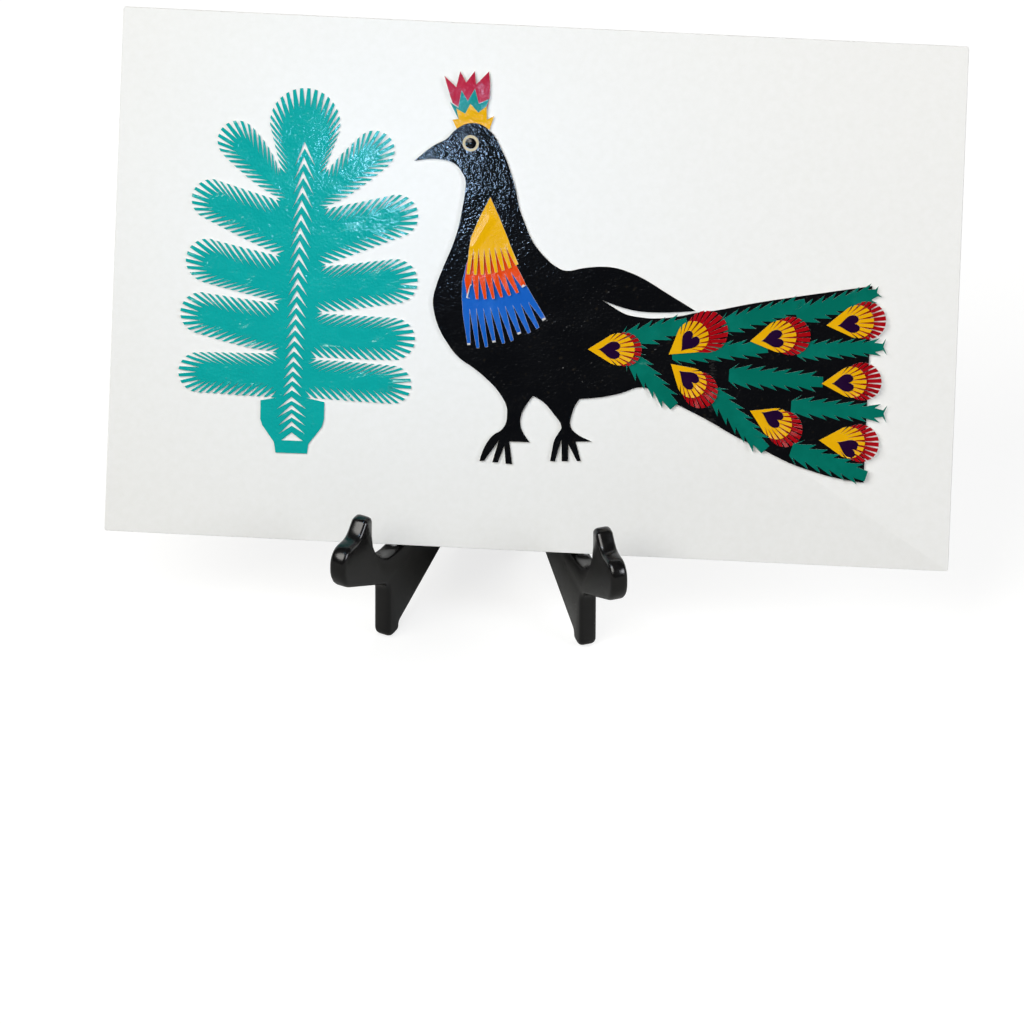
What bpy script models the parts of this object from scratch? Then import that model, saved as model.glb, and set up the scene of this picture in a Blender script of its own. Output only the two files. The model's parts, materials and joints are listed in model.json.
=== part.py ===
"""A paper cut picture on a folding easel.

A peacock of layered glossy papers and a tree of teal paper are glued to a white card. The card
leans on a black plastic easel: two moulded leaves that turn on one upright pin and fold flat.
Everything is in metres, +Z is up, and the picture faces -Y.

Places on the picture are read in pixels of the photograph. Each such reading is turned into metres
by the real length of the piece that it belongs to, so the sizes below drive every outline.
"""

import math

import bmesh
import bpy
from mathutils import Matrix

# Card and paper
CARD_WIDTH = 0.297
CARD_HEIGHT = 0.186
CARD_THICKNESS = 0.0015
LEAN = math.radians(26)
PAPER = 0.00015
GLUE_LINE = 0.00005

# The two figures and where they stand on the card, from its left lower corner
BIRD_LENGTH = 0.1660
TREE_HEIGHT = 0.1300
TREE_ACROSS = 0.0648
TREE_UP = 0.0308
BIRD_ACROSS = 0.1088
BIRD_UP = 0.0300

# Easel: the leaf's thickness, how far it opens, and its profile by distance from the hinge and height
LEAF_THICKNESS = 0.0063
OPEN_HALF_ANGLE = math.radians(23.2)
EDGE_ROUND = 0.0016
LEDGE_HEIGHT = 0.0351
LEDGE_SLOPE = math.radians(4)
LEDGE_FLAT = 0.0010
PRONG_RISE = 0.0259
PRONG_TIP_WIDTH = 0.0048
PRONG_CLEARANCE = 0.0188
NECK_AHEAD = 0.0096
NECK_HEIGHT = 0.0562
LEAF_REACH = 0.1192
BULGE_LOW = 0.0432
BULGE_HIGH = 0.0574
BULGE_SLANT = 0.0010
FRONT_FOOT_BACK = 0.0770
FRONT_FOOT_LENGTH = 0.0080
FRONT_FOOT_RISE = 0.0031
UNDERCUT_HEIGHT = 0.0238
REAR_FOOT_LENGTH = 0.0120
ARCH_SLOPE = math.radians(21.7)
UPRIGHT_TOP_WIDTH = 0.0060
EASEL_SHIFT = -0.0138

# Hinge
BARREL_RADIUS = 0.0040
BARREL_BOTTOM = 0.0025
BARREL_TOP = 0.1687
KNUCKLES = 5
WEB_INSET = 0.0006
WEB_THICKNESS = 0.0026
PIN_RADIUS = 0.0015
PIN_HEAD_RADIUS = 0.0028
PIN_HEAD_HEIGHT = 0.0010
ROUND_SIDES = 24

# Clearances
TOUCH_GAP = 0.0003
PIN_GAP = 0.00008
BARREL_GAP = 0.0004
UPRIGHT_GAP = 0.0010

# Fillets of the easel leaf's profile
SMALL_FILLET = 0.0019
FOOT_FILLET = 0.0036
HEEL_FILLET = 0.0014
PRONG_FILLET = 0.0023
NECK_FILLET = 0.0060
BULGE_TOP_FILLET = 0.0056
BULGE_UNDER_FILLET = 0.0105
UNDERCUT_FILLET = 0.0060
ARCH_FILLET = 0.0060
FILLET_STEPS = 5
EDGE_STEPS = 2
WELD = 0.0000001

# How the photograph was held and what it shows, in its own pixels
PHOTO_ROLL = math.radians(2.6)
PHOTO_TILT = math.radians(9)
BIRD_ORIGIN_PX = (415, 462)
BIRD_LENGTH_PX = 473
TREE_ORIGIN_PX = (290, 454)
TREE_HEIGHT_PX = 363.5

# Glue layers, counted up from the card
TREE_LAYER = 0
CREST_LAYERS = {"red": 0, "teal": 1, "yellow": 2}
BIRD_LAYER = 3
BREAST_LAYERS = {"blue": 4, "orange": 5, "yellow": 6}
EYE_LAYERS = {"disc": 4, "pupil": 5}
LOW_FROND = 4
HIGH_FROND = 5
TOP_FROND = 9
FAN_LAYERS = {"red": 6, "yellow": 7, "heart": 8}

# Colours as sRGB hex
CARD_WHITE = "E9E7E3"
TREE_TEAL = "06ACA6"
BIRD_BLACK = "0A0C12"
FROND_GREEN = "067A69"
FAN_RED = "A90A1E"
FAN_YELLOW = "EFB310"
HEART_PURPLE = "2B0A38"
CREST_RED = "C2344F"
CREST_TEAL = "119994"
BREAST_ORANGE = "E2501C"
BREAST_BLUE = "2A6CC4"
EYE_CREAM = "D8CDB4"
EASEL_BLACK = "0C0C0D"
PIN_BLACK = "161617"

# How rough each finish is, and that nothing here is metal
NOT_METAL = 0.0
PAPER_ROUGHNESS = 0.32
CARD_ROUGHNESS = 0.75
EASEL_ROUGHNESS = 0.25
PIN_ROUGHNESS = 0.35

# Bird: smooth points, with the sharp corners marked
CORNER = "corner"
BIRD_OUTLINE = [
    (415, 162, CORNER), (435, 146.5), (447.5, 140), (458.5, 129.5), (474, 124), (489, 129.5), (504.5, 154),
    (513, 177), (517, 192), (520, 208), (526, 225), (534.5, 244), (545, 257), (555, 266), (566, 271),
    (584, 268.4), (600, 267), (615, 268), (630, 272.5), (646, 280), (666, 292.5), (684, 303.5),
    (696, 311, CORNER), (675, 312.3), (655, 312.5), (638, 311.3), (620, 306.8), (602.5, 300.5, CORNER),
    (614.5, 308), (626, 314.3), (643, 317.7), (655, 318.5), (678, 316.6), (698, 312.5), (715, 310.5),
    (755, 303), (805, 295.3), (849, 289), (873, 285.5, CORNER), (867, 402), (863, 482, CORNER),
    (834, 477), (806, 468.7), (789, 462.4), (764, 450), (736, 436.5), (708, 420.3), (678, 404.8),
    (650, 389.5, CORNER), (643, 387), (620, 393.4), (600, 397.4), (579, 399.2, CORNER),
    (574, 407), (571, 415.7), (569.7, 425.5), (574, 432.2), (591, 441.6, CORNER), (575, 441.6, CORNER),
    (580, 461, CORNER), (576, 461, CORNER), (567.5, 444, CORNER), (567.3, 461.3, CORNER),
    (560.8, 461.3, CORNER), (560.8, 439.5, CORNER), (554, 461.4, CORNER), (549.2, 461.3, CORNER),
    (551.4, 449.6), (553.7, 440), (558.6, 431.8), (560.8, 427.5), (553, 414), (542.5, 402),
    (532.5, 396, CORNER), (529, 400.5), (524, 407.7), (520.5, 415.7), (519.6, 423), (521.5, 431),
    (529, 442.5, CORNER), (508.5, 441.6, CORNER), (511.3, 464.4, CORNER), (504.6, 464, CORNER),
    (503.4, 445.6, CORNER), (497, 462.6, CORNER), (491.2, 462.6, CORNER), (497.9, 440.7, CORNER),
    (483.3, 461, CORNER), (478.5, 461.5, CORNER), (480, 456), (486.3, 442.5), (493.4, 434.5),
    (499.2, 431.3), (504.6, 424.6), (506.5, 413), (506, 407), (499, 393.4), (487, 380), (472, 367.5),
    (458.5, 358), (446.7, 343), (439, 329), (434, 312.5), (433, 300.5), (436, 287.5), (443.5, 268),
    (452, 248.5), (459, 228), (462.5, 211.7), (466.2, 190), (466.2, 180), (463, 173.3), (458.6, 167),
    (451, 162.2), (439.4, 160), (428, 160),
]
BIRD_CURVE_STEPS = 4

# Crown of three zigzag papers, tucked one under another and under the head
CREST_RED_OUTLINE = [
    (446, 76.5), (458, 88), (462, 72), (468, 83.3), (476.7, 72), (478, 85.3), (491, 72.2), (492, 85),
    (491.5, 98), (487, 118), (463, 118), (459.7, 108), (454, 104), (452, 98),
]
CREST_TEAL_OUTLINE = [
    (451.3, 103), (459.7, 109), (463.3, 91), (469.3, 102), (476.7, 89.5), (480.4, 104.8), (491, 99.8),
    (488.4, 106.7), (486, 125), (462, 125),
]
CREST_YELLOW_OUTLINE = [
    (453.6, 120.8), (460, 120), (457.8, 109.4), (466.6, 114.7), (472, 104.8), (480, 113.6), (488.4, 107),
    (488.4, 120.5), (495.7, 117), (490.5, 132), (459, 132),
]

# Eye
EYE_CENTRE = (472, 144.2)
EYE_DISC_RADIUS = 8.1
EYE_PUPIL_RADIUS = 5.6
EYE_SIDES = 32

# Breast: three fringed papers. Each has its two sides from the top down, the arc of the slit ends and
# the arc of the finger tips, each arc by three points, then the number of fingers and their tip width
BREAST_YELLOW = {
    "left": [(491.4, 197.6), (481.4, 216), (471.6, 237.7), (469.5, 250.7)],
    "right": [(491.4, 197.6), (499.5, 216), (507.4, 235.5), (512.3, 248.5)],
    "roots": [(469, 250), (490, 249), (512, 246)],
    "tips": [(465, 274), (493.5, 273.5), (521, 263)],
    "fingers": 8,
    "tip_share": 0.42,
}
BREAST_ORANGE_SHEET = {
    "left": [(474, 240), (467, 265), (465, 280)],
    "right": [(507, 240), (515, 262), (525.3, 282)],
    "roots": [(466, 276), (492, 276), (518, 271)],
    "tips": [(465, 298), (498, 298), (530, 288)],
    "fingers": 8,
    "tip_share": 0.33,
}
BREAST_BLUE_SHEET = {
    "left": [(472, 256), (466.7, 264), (462.4, 282), (461.9, 298.4), (462.9, 314.7)],
    "right": [(515, 262), (525.3, 283), (533.4, 297.3)],
    "roots": [(463, 310), (498, 308), (537, 301)],
    "tips": [(465, 348), (508, 342), (551, 320)],
    "fingers": 10,
    "tip_share": 0.34,
}

# Fronds: start, end, half width, glue layer, how far a forked end spreads or 0 for a plain one
FRONDS = [
    ((622, 341.5), (688, 323), 12.5, HIGH_FROND, 0),
    ((630, 356), (674, 406), 11.5, LOW_FROND, 0),
    ((722, 326), (806, 303), 11, LOW_FROND, 0),
    ((672, 354), (768, 347.5), 10.5, HIGH_FROND, 0),
    ((797, 316), (881, 291), 11.5, HIGH_FROND, 0.5),
    ((797, 350.5), (887, 346), 10, HIGH_FROND, 0.85),
    ((729, 375), (823, 381.5), 11.5, LOW_FROND, 0),
    ((791, 405.5), (887, 413), 10.5, HIGH_FROND, 0.85),
    ((712, 391), (765, 449), 12, HIGH_FROND, 0),
    ((791, 448.5), (866, 475), 12, TOP_FROND, 0),
]
BARB_PITCH = 13
BARB_HOOK = 0.45
FIRST_BARB = 0.75
FROND_TAPER = (1.16, 0.88)
FROND_CORE = 0.52
FROND_START = 0.50
FROND_END = 0.45
FORK_NECK = 0.32

# Tail eyes: tip, direction in degrees with + turning down, yellow length, red length, how far the red
# paper is turned from that, then the heart's start: how far from the tip, how far off the direction,
# and how far the heart itself is turned
TAIL_EYES = [
    ((588, 349), 0, 47, 54, 0, 10.0, 0, 3),
    ((669, 354), -36, 46, 66, 6, 12.4, 22, -14),
    ((750.4, 340.6), -9, 47, 61, 2, 10.9, 8, 0),
    ((827, 324.6), -7, 48, 60, 0, 10.7, 9, 0),
    ((822, 382.7), -3, 45, 60, 0, 9.5, 3, 0),
    ((671, 363.5), 42, 43, 57, 0, 10, -4, 0),
    ((750, 410), 26, 45, 57, 2, 11.2, -20, 0),
    ((819, 439.3), 4, 46, 60, 0, 17.6, 0, 22),
]
RED_TIP_BACK = 5
FAN_CENTRE = 0.655
FAN_RADIUS = 0.345
FAN_FOCUS = 0.28
FAN_PETALS = {"red": 13, "yellow": 11}
SLIT_SHARE = {"red": 0.30, "yellow": 0.36}
SLIT_DEPTH = {"red": 0.48, "yellow": 0.52}
HEART_LENGTH = 22.4
HEART_WIDTH = 17.8
HEART_STEPS = 28
HEART_WAVES = (13, -5, -2, -1)

# Tree: leaf base, tip and half width from the lowest leaf up, and the notches below each leaf
LEFT_LEAVES = [
    ((278, 377), (178, 373), 20),
    ((280, 341), (181.5, 308.5), 20.5),
    ((284, 299.5), (188.5, 253.5), 21.5),
    ((286, 241), (195, 193), 20),
    ((290, 196), (225, 130), 20),
]
RIGHT_LEAVES = [
    ((305, 380), (410, 387), 19),
    ((308, 338), (414, 341), 21),
    ((312, 295), (417, 280), 22),
    ((316, 248), (417, 211), 21),
    ((318, 203), (390.5, 140.8), 20),
]
TOP_LEAF = ((304, 192), (307.5, 92), 35)
LEFT_NOTCHES = [(275, 399), (277, 355), (279, 306), (281, 259), (281.5, 204), (281, 176)]
RIGHT_NOTCHES = [(304.5, 399), (310, 360), (316.5, 315), (321, 269), (324, 212), (326, 176)]
POT_LEFT = [(274, 453.6), (272.6, 443), (261, 426), (259.2, 420), (259.7, 401.5)]
POT_RIGHT = [(323.3, 403.2), (322.8, 420), (320.5, 428), (307, 445), (305.5, 454.6)]
SLIT_PITCH = 7.4
SLIT_MOUTH = 4.2
TIP_SLIT_DEPTH = 18
SIDE_SLIT_DEPTH = {"above": 25, "below": 19, "crown": 21}
SIDE_SLIT_ANGLE = {"above": math.radians(29), "below": math.radians(41), "crown": math.radians(40)}
NOTCH_CLEAR = 2.5
NOTCH_SLIT_DEPTH = 5
NOTCH_SLIT_GROWTH = 0.75
LEAF_NARROWING = 2.2
LEAF_GAP = 1.2
LEAF_GAP_GROWTH = 0.12

# Chevrons cut along the trunk, from the top down, and in the pot
TRUNK_CHEVRONS = 21
TRUNK_TOP_BELOW_TIP = 53
TRUNK_FOOT = (291, 387)
CHEVRON_CROWDING = 0.24
TRUNK_CHEVRON_HALF = (10.5, 9.5)
TRUNK_CHEVRON_DROP = (25, 11)
TRUNK_CHEVRON_CUT = (7.0, 4.6)
POT_CHEVRONS = 4
POT_CHEVRON_TOP = (290.5, 398)
POT_CHEVRON_PITCH = 8.2
POT_CHEVRON_HALF = (15, 13)
POT_CHEVRON_DROP = 12.5
POT_CHEVRON_CUT = 4.2
POT_TRIANGLE = [(290.4, 433.5), (301.5, 442), (280, 441.2)]

# Where things come to, from the values above
LAYER = PAPER + GLUE_LINE
HINGE_FACE = TOUCH_GAP / 2
LEAF_OUTER = HINGE_FACE + LEAF_THICKNESS
PLATE_START = BARREL_RADIUS + BARREL_GAP
CARD_SLOPE = math.tan(LEAN)
CARD_LOW = LEDGE_HEIGHT + TOUCH_GAP
SEAT_REACH = BARREL_RADIUS + TOUCH_GAP + (BARREL_TOP - CARD_LOW) * CARD_SLOPE
SEAT_ON_LEAF = (SEAT_REACH + LEAF_OUTER * math.sin(OPEN_HALF_ANGLE)) / math.cos(OPEN_HALF_ANGLE)
LEDGE_BACK = SEAT_REACH - UPRIGHT_GAP
PRONG_BACK = SEAT_ON_LEAF + PRONG_CLEARANCE
PRONG_TOP = LEDGE_HEIGHT + PRONG_RISE
LEDGE_CURVE = PRONG_CLEARANCE - LEDGE_FLAT
UPRIGHT_TOP = CARD_LOW + (LEDGE_BACK - PLATE_START - UPRIGHT_TOP_WIDTH) / CARD_SLOPE


def clear_scene():
    for item in list(bpy.data.objects):
        bpy.data.objects.remove(item, do_unlink=True)


def linear(channel):
    """One sRGB channel as the linear value that a shader takes."""
    if channel <= 0.04045:
        return channel / 12.92
    return ((channel + 0.055) / 1.055) ** 2.4


def finish(name, colour, roughness):
    material = bpy.data.materials.new(name)
    material.use_nodes = True
    shader = material.node_tree.nodes["Principled BSDF"]
    channels = [linear(int(colour[i : i + 2], 16) / 255) for i in (0, 2, 4)]
    shader.inputs["Base Color"].default_value = (*channels, 1)
    shader.inputs["Roughness"].default_value = roughness
    shader.inputs["Metallic"].default_value = NOT_METAL
    return material


def add_object(name, data, material, parent=None):
    item = bpy.data.objects.new(name, data)
    bpy.context.scene.collection.objects.link(item)
    data.materials.append(material)
    item.parent = parent
    return item


def mix(first, last, share):
    return first + (last - first) * share


def photo_to_card(points, origin, scale, place):
    """Pixel readings as metres on the card, from the middle of its lower edge."""
    turned = []
    for x, y in points:
        across = (x - origin[0]) * math.cos(PHOTO_ROLL) + (y - origin[1]) * math.sin(PHOTO_ROLL)
        up = (x - origin[0]) * math.sin(PHOTO_ROLL) - (y - origin[1]) * math.cos(PHOTO_ROLL)
        up /= math.cos(PHOTO_TILT)
        turned.append((place[0] - CARD_WIDTH / 2 + across * scale, place[1] + up * scale))
    return turned


def on_bird(points):
    scale = BIRD_LENGTH / BIRD_LENGTH_PX
    return photo_to_card(points, BIRD_ORIGIN_PX, scale, (BIRD_ACROSS, BIRD_UP))


def on_tree(points):
    scale = TREE_HEIGHT * math.cos(PHOTO_TILT) / TREE_HEIGHT_PX
    return photo_to_card(points, TREE_ORIGIN_PX, scale, (TREE_ACROSS, TREE_UP))


def sheet_curve(name):
    """An empty flat curve that fills to a sheet of paper."""
    curve = bpy.data.curves.new(name, "CURVE")
    curve.dimensions = "2D"
    curve.fill_mode = "BOTH"
    curve.extrude = PAPER / 2
    return curve


def lay_sheet(name, curve, layer, colour, picture):
    """Hangs a sheet on the card at its glue layer."""
    sheet = add_object(name, curve, finish(name + "_paper", colour, PAPER_ROUGHNESS), picture)
    sheet.location.z = CARD_THICKNESS + GLUE_LINE + layer * LAYER + PAPER / 2
    return sheet


def cut_sheet(name, loops, layer, colour, picture):
    """A sheet with straight cuts: the first loop is its edge and any others are holes."""
    curve = sheet_curve(name)
    for loop in loops:
        spline = curve.splines.new("POLY")
        spline.points.add(len(loop) - 1)
        for point, (across, up) in zip(spline.points, loop):
            point.co = (across, up, 0, 1)
        spline.use_cyclic_u = True
    return lay_sheet(name, curve, layer, colour, picture)


def smooth_sheet(name, outline, places, steps, layer, colour, picture):
    """A sheet with a flowing edge, sharp only where the outline says so."""
    curve = sheet_curve(name)
    curve.resolution_u = steps
    spline = curve.splines.new("BEZIER")
    spline.bezier_points.add(len(outline) - 1)
    for knot, mark, (across, up) in zip(spline.bezier_points, outline, places):
        handle = "VECTOR" if CORNER in mark else "AUTO"
        knot.co = (across, up, 0)
        knot.handle_left_type = handle
        knot.handle_right_type = handle
    spline.use_cyclic_u = True
    return lay_sheet(name, curve, layer, colour, picture)


def along(start, end, points):
    """Points given along and to the left of the line from start to end, as pixel places."""
    length = math.dist(start, end)
    ax = (end[0] - start[0]) / length
    ay = (end[1] - start[1]) / length
    return [(start[0] + a * ax + b * ay, start[1] + a * ay - b * ax) for a, b in points]


def arc_point(arc, share):
    """A point on the even curve through three points."""
    first, middle, last = arc
    weights = (
        (1 - share) * (1 - 2 * share),
        4 * share * (1 - share),
        share * (2 * share - 1),
    )
    return tuple(weights[0] * p + weights[1] * q + weights[2] * r for p, q, r in zip(first, middle, last))


def fringe(spec):
    """A breast paper: two sides and a lower edge snipped into fingers."""
    count = spec["fingers"]
    outline = list(spec["left"])
    for finger in range(count):
        middle = finger + 0.5
        for side in (-0.5, 0.5):
            outline.append(arc_point(spec["tips"], (middle + side * spec["tip_share"]) / count))
        if finger < count - 1:
            outline.append(arc_point(spec["roots"], (finger + 1) / count))
    outline.extend(reversed(spec["right"]))
    return [point for i, point in enumerate(outline) if point != outline[i - 1]]


def frond_edge(length, half, forked):
    """One barbed side of a frond, from its start to its end."""
    count = round(length / BARB_PITCH)
    pitch = length / (count + FIRST_BARB - 0.5)
    edge = [(0, FROND_START * half)]
    for barb in range(count):
        tip = (barb + FIRST_BARB) * pitch
        wide = half * mix(*FROND_TAPER, tip / length)
        edge.append((tip, wide))
        edge.append((tip - BARB_HOOK * pitch, FROND_CORE * wide))
    if forked:
        edge.append((length - FORK_NECK * pitch, FORK_NECK * half))
        edge.append((length, forked * half))
    else:
        edge.append((length, FROND_END * half))
    return edge


def frond(start, end, half, forked):
    """A spray cut from a folded strip, so both sides match."""
    length = math.dist(start, end)
    edge = frond_edge(length, half, forked)
    tail = [(length - FORK_NECK * half, 0)] if forked else []
    mirrored = [(a, -b) for a, b in reversed(edge)]
    return along(start, end, edge + tail + mirrored)


def fan_rim(length, angle):
    """Distance from the fan's focus to its round rim."""
    offset = (FAN_CENTRE - FAN_FOCUS) * length
    radius = FAN_RADIUS * length
    return offset * math.cos(angle) + math.sqrt(radius**2 - (offset * math.sin(angle)) ** 2)


def fan(length, petals, slit_share, slit_depth):
    """A drop with a round end that is snipped into flat petals, along its own axis from the tip."""
    tangent = math.acos(-FAN_RADIUS / FAN_CENTRE)
    shoulder = (
        (FAN_CENTRE + FAN_RADIUS * math.cos(tangent) - FAN_FOCUS) * length,
        FAN_RADIUS * math.sin(tangent) * length,
    )
    widest = math.atan2(shoulder[1], shoulder[0])
    pitch = 2 * widest / petals
    outline = [(0, 0)]
    for petal in range(petals):
        middle = widest - (petal + 0.5) * pitch
        for side in (0.5, -0.5):
            angle = middle + side * pitch * (1 - slit_share)
            outline.append((angle, fan_rim(length, angle)))
        if petal < petals - 1:
            angle = middle - 0.5 * pitch
            outline.append((angle, fan_rim(length, angle) * (1 - slit_depth)))
    focus = FAN_FOCUS * length
    rim = [(focus + reach * math.cos(angle), reach * math.sin(angle)) for angle, reach in outline[1:]]
    return outline[:1] + rim


def heart(length, width):
    """A heart with its point at the start of the axis, by the well known heart curve."""
    raw = []
    for step in range(HEART_STEPS):
        turn = 2 * math.pi * step / HEART_STEPS
        up = sum(weight * math.cos(order * turn) for order, weight in enumerate(HEART_WAVES, 1))
        raw.append((up, math.sin(turn) ** 3))
    low = min(up for up, side in raw)
    high = max(up for up, side in raw)
    return [((up - low) / (high - low) * length, side * width / 2) for up, side in raw]


def turned_line(start, degrees, length):
    angle = math.radians(degrees)
    return start, (start[0] + length * math.cos(angle), start[1] + length * math.sin(angle))


def side_of(origin, direction, point):
    """How far a point lies to one side of a line, and how far along it."""
    dx = point[0] - origin[0]
    dy = point[1] - origin[1]
    return direction[0] * dy - direction[1] * dx, direction[0] * dx + direction[1] * dy


def unit(start, end):
    length = math.dist(start, end)
    return (end[0] - start[0]) / length, (end[1] - start[1]) / length


def kept_clear(point, fence):
    """Moves a leaf's edge point back behind the line that parts it from the next leaf."""
    notch, direction, keep = fence
    aside, ahead = side_of(notch, direction, point)
    room = min(LEAF_GAP, LEAF_GAP_GROWTH * max(ahead, 0))
    lack = room - aside * keep
    if lack <= 0:
        return point
    return point[0] - direction[1] * keep * lack, point[1] + direction[0] * keep * lack


def leaf_side(leaf, fence, kind):
    """One side of a leaf: its fence, its straight run to the notch, how wide it is there, and its kind."""
    base, tip, half = leaf
    aside, ahead = side_of(base, unit(base, tip), fence[0])
    return fence, math.dist(base, tip) - half - ahead, abs(aside) / half, kind


def leaf_rim(leaf, walk, side):
    """A point on the leaf's plain rim, by the way walked from its tip, and the slit that is cut there."""
    base, tip, half = leaf
    fence, run, end_share, kind = side
    length = math.dist(base, tip)
    hand = 1 if walk >= 0 else -1
    turn = min(abs(walk) / half, math.pi / 2)
    back = max(0, abs(walk) - turn * half)
    bend = 1 if end_share > 1 else LEAF_NARROWING
    wide = half * mix(1, end_share, (back / run) ** bend)
    spot = (length - half + half * math.cos(turn) - back, hand * wide * math.sin(turn))
    share = turn / (math.pi / 2)
    slant = SIDE_SLIT_ANGLE[kind] * share
    depth = mix(TIP_SLIT_DEPTH, SIDE_SLIT_DEPTH[kind], share)
    return spot, (-depth * math.cos(slant), -hand * depth * math.sin(slant))


def leaf_outline(leaf, fences, kinds):
    """A leaf from its first notch round the tip to its last, with a slit every few millimetres."""
    base, tip, half = leaf
    quarter = half * math.pi / 2
    sides = [leaf_side(leaf, fence, kind) for fence, kind in zip(fences, kinds)]
    first_walk = quarter + sides[0][1]
    last_walk = -quarter - sides[1][1]
    count = round((first_walk - last_walk) / SLIT_PITCH)
    outline = []
    for slit in range(1, count):
        walk = mix(first_walk, last_walk, slit / count)
        side = sides[0] if walk >= 0 else sides[1]
        fence = side[0]
        mouth = []
        for edge in (0.5, -0.5):
            rim = along(base, tip, [leaf_rim(leaf, walk + edge * SLIT_MOUTH, side)[0]])[0]
            mouth.append(kept_clear(rim, fence))
        if min(side_of(*fence[:2], spot)[1] for spot in mouth) < NOTCH_CLEAR:
            continue
        middle = ((mouth[0][0] + mouth[1][0]) / 2, (mouth[0][1] + mouth[1][1]) / 2)
        cut = along((0, 0), unit(base, tip), [leaf_rim(leaf, walk, side)[1]])[0]
        room = NOTCH_SLIT_DEPTH + NOTCH_SLIT_GROWTH * math.dist(middle, fence[0])
        share = min(1, room / math.hypot(*cut))
        root = (middle[0] + share * cut[0], middle[1] + share * cut[1])
        outline.extend([mouth[0], root, mouth[1]])
    return outline


def parting_line(notch, aim, keep):
    """The line that runs out from a notch between two leaves, and the side of it to keep to."""
    return notch, unit(notch, aim), keep


def parting_lines(notches, shelf, leaves, keep):
    """One line for each notch: along the pot's top first, then midway between neighbouring tips."""
    tips = [leaf[1] for leaf in leaves]
    aims = [shelf]
    aims.extend(((a[0] + b[0]) / 2, (a[1] + b[1]) / 2) for a, b in zip(tips, tips[1:]))
    return [parting_line(notch, aim, keep) for notch, aim in zip(notches, aims)]


def tree_outline():
    """The tree's edge: up the left leaves, over the top one, down the right ones and round the pot."""
    left_lines = parting_lines(LEFT_NOTCHES, POT_LEFT[-1], [*LEFT_LEAVES, TOP_LEAF], 1)
    right_lines = parting_lines(RIGHT_NOTCHES, POT_RIGHT[0], [*RIGHT_LEAVES, TOP_LEAF], -1)

    def flipped(line):
        return line[0], line[1], -line[2]

    outline = list(POT_LEFT)
    for i, leaf in enumerate(LEFT_LEAVES):
        outline.append(LEFT_NOTCHES[i])
        fences = (left_lines[i], flipped(left_lines[i + 1]))
        upper = "above" if i < len(LEFT_LEAVES) - 1 else "crown"
        outline.extend(leaf_outline(leaf, fences, ("below", upper)))
    outline.append(LEFT_NOTCHES[-1])
    outline.extend(leaf_outline(TOP_LEAF, (left_lines[-1], right_lines[-1]), ("crown", "crown")))
    for i in reversed(range(len(RIGHT_LEAVES))):
        outline.append(RIGHT_NOTCHES[i + 1])
        fences = (flipped(right_lines[i + 1]), right_lines[i])
        upper = "above" if i < len(RIGHT_LEAVES) - 1 else "crown"
        outline.extend(leaf_outline(RIGHT_LEAVES[i], fences, (upper, "below")))
    outline.append(RIGHT_NOTCHES[0])
    outline.extend(POT_RIGHT)
    return outline


def chevron(apex, half, drop, cut):
    x, y = apex
    return [(x, y), (x + half, y + drop), (x, y + cut), (x - half, y + drop)]


def tree_holes():
    """Chevrons down the trunk and in the pot."""
    holes = []
    base, tip, half = TOP_LEAF
    top = along(tip, base, [(TRUNK_TOP_BELOW_TIP, 0)])[0]
    for i in range(TRUNK_CHEVRONS):
        share = i / (TRUNK_CHEVRONS - 1)
        fall = share * (1 + CHEVRON_CROWDING * (1 - share))
        apex = (mix(top[0], TRUNK_FOOT[0], fall), mix(top[1], TRUNK_FOOT[1], fall))
        sizes = (TRUNK_CHEVRON_HALF, TRUNK_CHEVRON_DROP, TRUNK_CHEVRON_CUT)
        holes.append(chevron(apex, *(mix(first, last, share) for first, last in sizes)))
    for i in range(POT_CHEVRONS):
        x, y = POT_CHEVRON_TOP
        half = mix(*POT_CHEVRON_HALF, i / (POT_CHEVRONS - 1))
        holes.append(chevron((x, y + i * POT_CHEVRON_PITCH), half, POT_CHEVRON_DROP, POT_CHEVRON_CUT))
    holes.append(POT_TRIANGLE)
    return holes


def make_card(picture):
    mesh = bpy.data.meshes.new("backing_card")
    shape = bmesh.new()
    place = Matrix.Translation((0, CARD_HEIGHT / 2, CARD_THICKNESS / 2))
    size = Matrix.Diagonal((CARD_WIDTH, CARD_HEIGHT, CARD_THICKNESS, 1))
    bmesh.ops.create_cube(shape, size=1, matrix=place @ size)
    shape.to_mesh(mesh)
    shape.free()
    return add_object("backing_card", mesh, finish("white_card", CARD_WHITE, CARD_ROUGHNESS), picture)


def make_bird(picture):
    places = on_bird([mark[:2] for mark in BIRD_OUTLINE])
    smooth_sheet("bird_silhouette", BIRD_OUTLINE, places, BIRD_CURVE_STEPS, BIRD_LAYER, BIRD_BLACK, picture)


def make_crest(picture):
    crowns = {
        "red": (CREST_RED_OUTLINE, CREST_RED),
        "teal": (CREST_TEAL_OUTLINE, CREST_TEAL),
        "yellow": (CREST_YELLOW_OUTLINE, FAN_YELLOW),
    }
    for key, (outline, colour) in crowns.items():
        cut_sheet(f"crest_{key}", [on_bird(outline)], CREST_LAYERS[key], colour, picture)


def make_eye(picture):
    discs = {"disc": (EYE_DISC_RADIUS, EYE_CREAM), "pupil": (EYE_PUPIL_RADIUS, BIRD_BLACK)}
    for key, (radius, colour) in discs.items():
        x, y = EYE_CENTRE
        angles = [2 * math.pi * i / EYE_SIDES for i in range(EYE_SIDES)]
        circle = [(x + radius * math.cos(angle), y + radius * math.sin(angle)) for angle in angles]
        cut_sheet(f"eye_{key}", [on_bird(circle)], EYE_LAYERS[key], colour, picture)


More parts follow.
